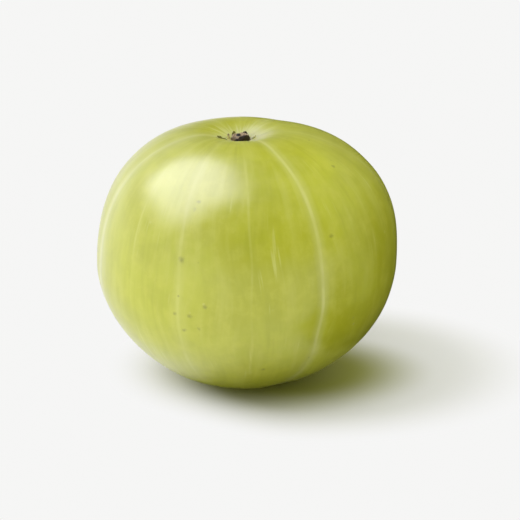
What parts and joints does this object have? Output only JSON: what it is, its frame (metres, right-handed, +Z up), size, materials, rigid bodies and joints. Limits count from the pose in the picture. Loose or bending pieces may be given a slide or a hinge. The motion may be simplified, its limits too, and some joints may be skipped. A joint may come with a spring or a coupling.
{
  "type": "indian gooseberry",
  "caption": "Round, slightly flattened green amla fruit with faint furrows, a woody stalk stub and dried calyx lobes, standing on a small flat spot.",
  "frame": {"origin": "on the resting surface, under the middle of the fruit's box", "axes": "+Z up from the flat resting spot towards the stalk end; the front of the fruit faces -Y and its right side +X"},
  "size_m": [0.035, 0.0348, 0.0303],
  "materials": {
    "skin": "satin",
    "stalk_wood": "matte",
    "dried_calyx": "matte",
    "withered_calyx": "matte"
  },
  "bodies": {
    "root": {"fruit": "skin", "stalk_stub": "stalk_wood", "calyx_lobe_1": "dried_calyx", "calyx_lobe_2": "dried_calyx", "calyx_lobe_3": "dried_calyx", "calyx_lobe_4": "dried_calyx", "calyx_lobe_5": "dried_calyx", "calyx_lobe_6": "withered_calyx"}
  },
  "joints": []
}
